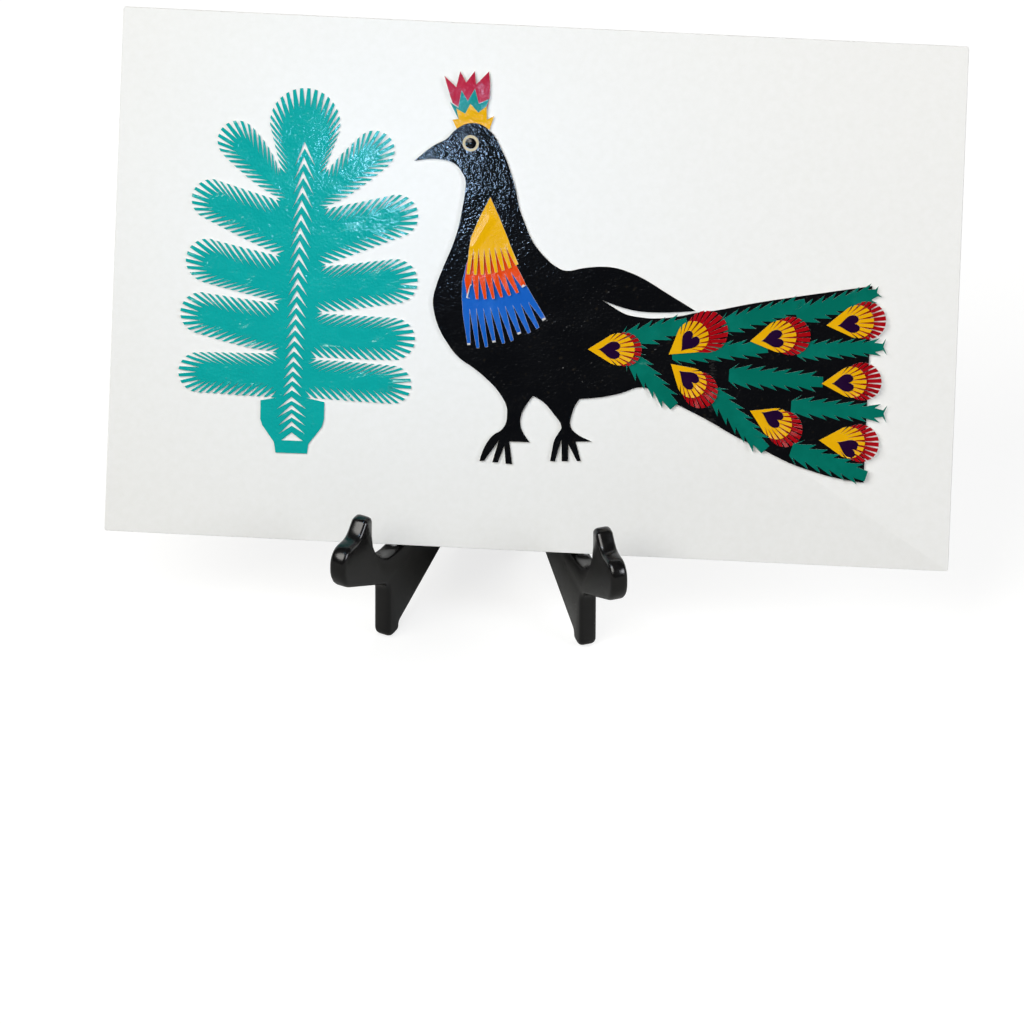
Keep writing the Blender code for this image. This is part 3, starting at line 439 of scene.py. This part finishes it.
def pick_faces(piece, wanted):
    """Select, in face mode, just the faces for which wanted(face) is true."""
    bpy.context.tool_settings.mesh_select_mode = (False, False, True)
    for part in (piece.data.vertices, piece.data.edges):
        part.foreach_set("select", [False] * len(part))
    for face in piece.data.polygons:
        face.select = wanted(face)


def smooth_round(piece, degrees):
    work_on(piece)
    bpy.ops.object.shade_smooth_by_angle(angle=math.radians(degrees))


print("piece helpers ready")

# %% [markdown]
# ## One sheet of cut paper
# A paper starts as the joined copy of its node. Its face gets the coloured coat, and its back and cut edges
# show the white inside of the sheet. On the crest, eye and breast papers the face is also inset by a hair,
# because scissors leave a thin pale rim. Then the sheet is sliced into a grid with bisect, so that it has
# points in its middle and can bend. At last every point moves out from the card: by the cockle, which all
# layers share so that they stay clear of one another, and by a lift that differs from paper to paper.
# Where a tip has curled, the strip beyond a fold line is rolled back over the sheet, and its white back
# comes into view.

# %% Cut, slice and settle a paper
CUT_EDGE = 0.03 * MM
COCKLE_HEIGHT = 0.14 * MM
COCKLE_WAVE = 13 * MM
COCKLE_MEAN = 0.6
FACING = 0.9
SHEET_SMOOTH = 30

Roll = namedtuple("Roll", "start direction half_width reach radius turn")


def ease(t):
    """0 up to t = 0, 1 from t = 1 on, and a soft rise between them."""
    t = min(1.0, max(0.0, t))
    return t * t * (3 - 2 * t)


def ripple(across, up, wave, layer=0.0):
    """Smooth noise from about -1 to 1 whose bumps are as wide as wave; each layer has its own bumps."""
    return noise.noise(Vector((across / wave, up / wave, layer)))


def cockle(across, up):
    return COCKLE_HEIGHT * (COCKLE_MEAN + ripple(across, up, COCKLE_WAVE))


def flat(across, up):
    return 0.0


def slice_grid(piece, pitch):
    places = [card_place(vertex.co) for vertex in piece.data.vertices]
    bpy.ops.object.mode_set(mode="EDIT")
    for axis, direction in ((0, ACROSS), (1, UP)):
        low, high = min(p[axis] for p in places), max(p[axis] for p in places)
        for step in range(math.floor(low / pitch) + 1, math.ceil(high / pitch)):
            bpy.ops.mesh.select_all(action="SELECT")
            bpy.ops.mesh.bisect(plane_co=FOOT + direction * (step * pitch), plane_no=direction)
    bpy.ops.object.mode_set(mode="OBJECT")


def rolled(place, level, rolls):
    """Where a point of the flat sheet goes when the strip beyond a fold is rolled back over the sheet."""
    for roll in rolls:
        offset = Vector(place[:2]) - roll.start
        side = Vector((-roll.direction.y, roll.direction.x))
        beyond, aside, height = offset.dot(roll.direction), offset.dot(side), place[2] - level
        if 0 < beyond < roll.reach and abs(aside) < roll.half_width:
            turn = min(beyond / roll.radius, roll.turn)
            flap = beyond - roll.radius * turn
            ahead = roll.radius * math.sin(turn) + flap * math.cos(turn) - height * math.sin(turn)
            rise = roll.radius * (1 - math.cos(turn)) + flap * math.sin(turn) + height * math.cos(turn)
            return (*(roll.start + roll.direction * ahead + side * aside), level + rise)
    return place


def cut_paper(node_name, slot, pitch, lift, rim=True, rolls=()):
    """The finished sheet for a node: white cut edge, sliced into a grid, moved out by lift(across, up)."""
    piece = joined_copy(node_name, node_name + "_sheet")
    pick_faces(piece, lambda face: face.normal.dot(OUT) > FACING)
    if rim:
        bpy.ops.object.mode_set(mode="EDIT")
        bpy.ops.mesh.inset(thickness=CUT_EDGE, depth=0.0)
        bpy.ops.object.mode_set(mode="OBJECT")
    piece.data.materials.append(papers[slot])
    piece.data.materials.append(paper_core)
    for face in piece.data.polygons:
        face.material_index = 0 if face.select else 1
    slice_grid(piece, pitch)
    level = min(card_place(vertex.co)[2] for vertex in piece.data.vertices)
    for vertex in piece.data.vertices:
        across, up, out = card_place(vertex.co)
        rise = cockle(across, up) + lift(across, up)
        vertex.co = on_card(*rolled((across, up, out), level, rolls)) + OUT * rise
    smooth_round(piece, SHEET_SMOOTH)
    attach(piece, "picture")
    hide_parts(node_name)
    return piece


def outline_facts(node_name):
    """All points of a node's outline on the card, their middle, and the one farthest from it."""
    places = [Vector(card_place(v.co)[:2]) for v in frame["nodes"][node_name].data.vertices]
    middle = sum(places, Vector((0, 0))) / len(places)
    return places, middle, max(places, key=lambda p: (p - middle).length)


def dome_lift(node_name, height):
    """A low dome: highest over the middle of the outline, nothing at its farthest point."""
    _, middle, far = outline_facts(node_name)
    reach = (far - middle).length
    return lambda across, up: height * ease(1 - (Vector((across, up)) - middle).length / reach)


print("cockle:", round(COCKLE_HEIGHT / MM, 2), "mm over", round(COCKLE_WAVE / MM), "mm waves")

# %% [markdown]
# ## The card
# A white picture board with cut edges. It starts as a cube of the card's size, laid in the card's plane;
# its long edges and corners are softened with bevels, because a knife and handling round them slightly.

# %% Backing card
CORNER_ROUND = 0.8 * MM
CORNER_STEPS = 4
EDGE_SOFT = 0.15 * MM
EDGE_STEPS = 3
EDGE_ANGLE = math.radians(50)
CARD_SMOOTH = 35

bpy.ops.object.select_all(action="DESELECT")
bpy.ops.mesh.primitive_cube_add(size=1)
card = bpy.context.object
card.name = "picture_board"
card_middle = Matrix.Translation(on_card(0, CARD_HEIGHT / 2, -CARD_THICKNESS / 2))
card_turn = Matrix((ACROSS, UP, OUT)).transposed().to_4x4()
card.matrix_world = card_middle @ card_turn @ Matrix.Diagonal((CARD_WIDTH, CARD_HEIGHT, CARD_THICKNESS, 1))
bpy.ops.object.transform_apply(location=True, rotation=True, scale=True)
for edge in card.data.edges:
    ends = [card.data.vertices[i].co for i in edge.vertices]
    edge.select = abs((ends[0] - ends[1]).normalized().dot(OUT)) > FACING
bpy.context.tool_settings.mesh_select_mode = (False, True, False)
for face in card.data.polygons:
    face.select = False
bpy.ops.object.mode_set(mode="EDIT")
bpy.ops.mesh.bevel(offset=CORNER_ROUND, segments=CORNER_STEPS)
bpy.ops.object.mode_set(mode="OBJECT")
soften = card.modifiers.new("soft_edges", "BEVEL")
soften.width = EDGE_SOFT
soften.segments = EDGE_STEPS
soften.limit_method = "ANGLE"
soften.angle_limit = EDGE_ANGLE
bpy.ops.object.modifier_apply(modifier=soften.name)
card.data.materials.append(white_board)
smooth_round(card, CARD_SMOOTH)
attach(card, "picture")
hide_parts("backing_card")
print("card has", len(card.data.polygons), "faces")

# %% [markdown]
# ## The tree
# One teal sheet with dozens of slits. The trunk is glued down, and the fingers of the leaves are free
# enough to stand up a little, some more than others.

# %% Tree
TREE_GRID = 1.5 * MM
TREE_GLUED = 6 * MM
TREE_SPREAD = 12 * MM
TREE_LIFT = 0.35 * MM
TREE_LOOSE = 0.2 * MM
TREE_WAVE = 4 * MM
TREE_MEAN = 0.6
tree_middle = outline_facts("tree")[1]


def tree_lift(across, up):
    free = ease((abs(across - tree_middle.x) - TREE_GLUED) / TREE_SPREAD)
    return TREE_LOOSE + TREE_LIFT * free * max(0.0, TREE_MEAN + ripple(across, up, TREE_WAVE, layer=3.0))


tree = cut_paper("tree", "teal_paper", TREE_GRID, tree_lift, rim=False)
print("tree sheet has", len(tree.data.polygons), "faces")

# %% [markdown]
# ## The bird's body
# The black sheet carries all the other papers, so it lies flat apart from the shared cockle.

# %% Bird
BIRD_GRID = 3 * MM

bird = cut_paper("bird_silhouette", "black_paper", BIRD_GRID, flat, rim=False)
print("bird sheet has", len(bird.data.polygons), "faces")

# %% [markdown]
# ## Crest and eye
# The three crown papers are only glued at the head, so their points stand off the card and throw a small
# shadow on it. The yellow one, on top, has also been pressed into small wrinkles, which fade out where it
# goes under the head. The eye is a cream disc, and the pupil on it is pressed up into a low dome.

# %% Crest and eye
CREST_GRID = 0.5 * MM
CREST_LIFT = 1.1 * MM
CREST_BEND = 15 * MM
CREST_WAVE = 5 * MM
CREST_MEAN, CREST_SWING = 0.9, 0.3
CROWN_WRINKLE = 0.35 * MM
CROWN_WAVE = 1.7 * MM
CROWN_MEAN = 0.6
CROWN_FADE = 2.5 * MM
EYE_GRID = 1.2 * MM
PUPIL_GRID = 0.6 * MM
PUPIL_DOME = 0.45 * MM
HEAD_TOP_PIXEL = (474, 124)
head_top = from_photo(*HEAD_TOP_PIXEL)[1]


def crest_lift(across, up):
    bend = ease((up - head_top) / CREST_BEND)
    return CREST_LIFT * bend * (CREST_MEAN + CREST_SWING * ripple(across, up, CREST_WAVE, layer=5.0))


def crown_lift(across, up):
    wrinkle = CROWN_WRINKLE * (CROWN_MEAN + ripple(across, up, CROWN_WAVE, layer=6.0))
    return crest_lift(across, up) + wrinkle * ease((up - head_top) / CROWN_FADE)


for crest, slot, lift in (("crest_red", "crest_red_paper", crest_lift),
                          ("crest_teal", "crest_teal_paper", crest_lift),
                          ("crest_yellow", "yellow_paper", crown_lift)):
    cut_paper(crest, slot, CREST_GRID, lift)
cut_paper("eye_disc", "cream_paper", EYE_GRID, flat)
cut_paper("eye_pupil", "black_paper", PUPIL_GRID, dome_lift("eye_pupil", PUPIL_DOME))
print("crest bends up by", round(CREST_LIFT / MM, 1), "mm, pupil by", round(PUPIL_DOME / MM, 2), "mm")

# %% [markdown]
# ## Breast
# Three fringed papers, one over another. Each is glued along its upper edge and its fingers hang free, so
# they rise towards their tips. A few of the tips have curled back, and one orange finger has folded over
# along its side. The yellow paper has one sharp crease down its middle.

# %% Breast papers
FRINGE_GRID = 0.4 * MM
FRINGE_LIFT = {"breast_blue": 0.9 * MM, "breast_orange": 0.8 * MM, "breast_yellow": 0.5 * MM}
FRINGE_GLUED = 0.45
FRINGE_WAVE = 2.2 * MM
FRINGE_MEAN, FRINGE_SWING = 0.9, 0.8
FINGER_STRETCH = 6
CREASE_HEIGHT = 0.4 * MM
CREASE_WIDTH = 1.3 * MM
CREASE_FALL = 3 * MM
CREASE_PIXELS = (490, 218), (472.7, 246.4)
crease_top, crease_foot = (Vector(from_photo(*pixel)) for pixel in CREASE_PIXELS)


def crease(across, up):
    """A fold like a roof: one side short and steep, so that it catches the window, the other long."""
    run = crease_foot - crease_top
    along = run.normalized()
    point = Vector((across, up)) - crease_top
    left = point.dot(Vector((along.y, -along.x)))
    past = max(0.0, -point.dot(along), point.dot(along) - run.length)
    roof = 1 - left / CREASE_WIDTH if left > 0 else 1 - ease(-left / CREASE_FALL)
    return CREASE_HEIGHT * max(0.0, roof) * (1 - ease(past / CREASE_WIDTH))


def fringe_lift(node_name):
    """Nothing on the glued upper part, then a rise towards the tips that differs from finger to finger."""
    places = outline_facts(node_name)[0]
    top, tip = max(p.y for p in places), min(p.y for p in places)
    glued = FRINGE_GLUED * (top - tip)

    def lift(across, up):
        hang = ease((top - glued - up) / glued)
        finger = FRINGE_MEAN + FRINGE_SWING * ripple(across, up / FINGER_STRETCH, FRINGE_WAVE, layer=7.0)
        fold = crease(across, up) if node_name == "breast_yellow" else 0.0
        return FRINGE_LIFT[node_name] * hang * finger + fold

    return lift


print("yellow paper is creased over", round((crease_foot - crease_top).length / MM), "mm")

# %% [markdown]
# A curled tip is a roll across the end of a finger, and the folded finger is a roll along its side. The
# photograph shows which fingers those are, so they are given by the pixels of their tips and roots.

# %% Curls and folds
CURL_LENGTH = 1.6 * MM
CURL_HALF_WIDTH = 1.1 * MM
CURL_REACH = 3 * MM
CURL_RADIUS = 0.3 * MM
ROLL_TURN = math.radians(150)


def tip_curl(tip_x, tip_y, root_x, root_y):
    """A finger's end rolled up and back: the roll starts a little before the tip."""
    tip = Vector(from_photo(tip_x, tip_y))
    direction = (tip - Vector(from_photo(root_x, root_y))).normalized()
    return Roll(start=tip - direction * CURL_LENGTH, direction=direction, half_width=CURL_HALF_WIDTH,
                reach=CURL_REACH, radius=CURL_RADIUS, turn=ROLL_TURN)


side_fold = Roll(start=Vector(from_photo(469.5, 291.7)), direction=Vector((1, -0.16)).normalized(),
                 half_width=2.55 * MM, reach=0.88 * MM, radius=0.09 * MM, turn=ROLL_TURN)
rolls = {
    "breast_blue": [tip_curl(469.3, 348.1, 466, 310), tip_curl(495.1, 345.5, 487, 309),
                    tip_curl(520.9, 337.1, 509, 306), tip_curl(546.7, 322.9, 533, 302)],
    "breast_orange": [side_fold, tip_curl(526.1, 289.8, 515, 272)],
    "breast_yellow": [],
}
for breast, slot in (("breast_blue", "blue_paper"), ("breast_orange", "orange_paper"),
                     ("breast_yellow", "yellow_paper")):
    cut_paper(breast, slot, FRINGE_GRID, fringe_lift(breast), rolls=rolls[breast])
print("breast papers:", {name: len(made) for name, made in rolls.items()}, "rolls")

# %% [markdown]
# ## Tail
# Ten green sprays lie under eight eyes. Each eye is a red fan, a yellow fan and a dark heart. A fan is
# glued at its point, and its petals bend up towards their ends; a spray's barbs only stand up a little.

# %% Tail papers
SPRAYS = 10
EYES = 8
SPRAY_GRID = 2 * MM
BARB_LIFT = 0.3 * MM
BARB_WAVE = 4 * MM
BARB_MEAN = 0.5
FAN_GRID = 1.2 * MM
FAN_FOCUS = 0.28
FAN_OPENING = math.radians(113)
PETAL_COUNT = {"fan_red": 13, "fan_yellow": 11}
PETAL_LIFT = {"fan_red": 0.7 * MM, "fan_yellow": 0.65 * MM}
PETAL_START, PETAL_RUN = 0.62, 0.36
PETAL_MEAN, PETAL_SWING = 0.7, 0.9
PETAL_STEP = 0.73
HEART_GRID = 1.2 * MM
HEART_DOME = 0.12 * MM


def fan_lift(node_name, rise, petals):
    """Petals spread from a point a little inside the fan. Each one bends up by its own amount."""
    places, middle, point = outline_facts(node_name)
    axis = (middle - point).normalized()
    length = max((p - point).dot(axis) for p in places)
    focus = point + axis * (FAN_FOCUS * length)

    def lift(across, up):
        arm = Vector((across, up)) - focus
        share = arm.length / ((1 - FAN_FOCUS) * length)
        petal = math.floor((axis.angle_signed(arm, 0.0) / FAN_OPENING + 0.5) * petals)
        bend = PETAL_MEAN + PETAL_SWING * noise.noise(Vector((petal * PETAL_STEP, length / MM, petals)))
        return rise * ease((share - PETAL_START) / PETAL_RUN) * bend

    return lift


def spray_lift(node_name):
    """Nothing along the spray's middle line, and a small uneven rise out to the tips of its barbs."""
    places, middle, end = outline_facts(node_name)
    axis = (end - middle).normalized()
    side = Vector((-axis.y, axis.x))
    half_width = max(abs((p - middle).dot(side)) for p in places)

    def lift(across, up):
        off = abs((Vector((across, up)) - middle).dot(side)) / half_width
        return BARB_LIFT * ease(off) * max(0.0, BARB_MEAN + ripple(across, up, BARB_WAVE, layer=11.0))

    return lift


for number in range(1, SPRAYS + 1):
    spray = f"frond_{number}"
    cut_paper(spray, "green_paper", SPRAY_GRID, spray_lift(spray), rim=False)
for number in range(1, EYES + 1):
    for fan, slot in (("fan_red", "red_paper"), ("fan_yellow", "yellow_paper")):
        name = f"{fan}_{number}"
        cut_paper(name, slot, FAN_GRID, fan_lift(name, PETAL_LIFT[fan], PETAL_COUNT[fan]), rim=False)
    heart = f"heart_{number}"
    cut_paper(heart, "purple_paper", HEART_GRID, dome_lift(heart, HEART_DOME), rim=False)
print("tail:", SPRAYS, "sprays,", EYES, "eyes of 3 papers")

# %% [markdown]
# ## Easel
# The two leaves and the pin already have their moulded shape in the working model: rounded edges, prongs,
# feet and hinge knuckles. Joined copies shade smoothly over those rounds and take the plastic's shine.

# %% Easel leaves and pin
EASEL_SMOOTH = 32
EASEL = (("stand_leaf_left", "stand_leaf_left_moulding", "left_leaf", "easel_plastic"),
         ("stand_leaf_right", "stand_leaf_right_moulding", "right_leaf", "easel_plastic"),
         ("hinge_pin", "hinge_pin_turned", "hinge_pin", "pin_plastic"))

for node_name, piece_name, body, slot in EASEL:
    piece = joined_copy(node_name, piece_name)
    piece.data.materials.append(plastics[slot])
    smooth_round(piece, EASEL_SMOOTH)
    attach(piece, body)
    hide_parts(node_name)
print("easel dressed:", len(EASEL), "pieces")

# %% [markdown]
# ## Last settings
# The Standard view shows colours as they are written.

# %% Finish
bpy.context.scene.view_settings.view_transform = "Standard"
bpy.ops.object.select_all(action="DESELECT")
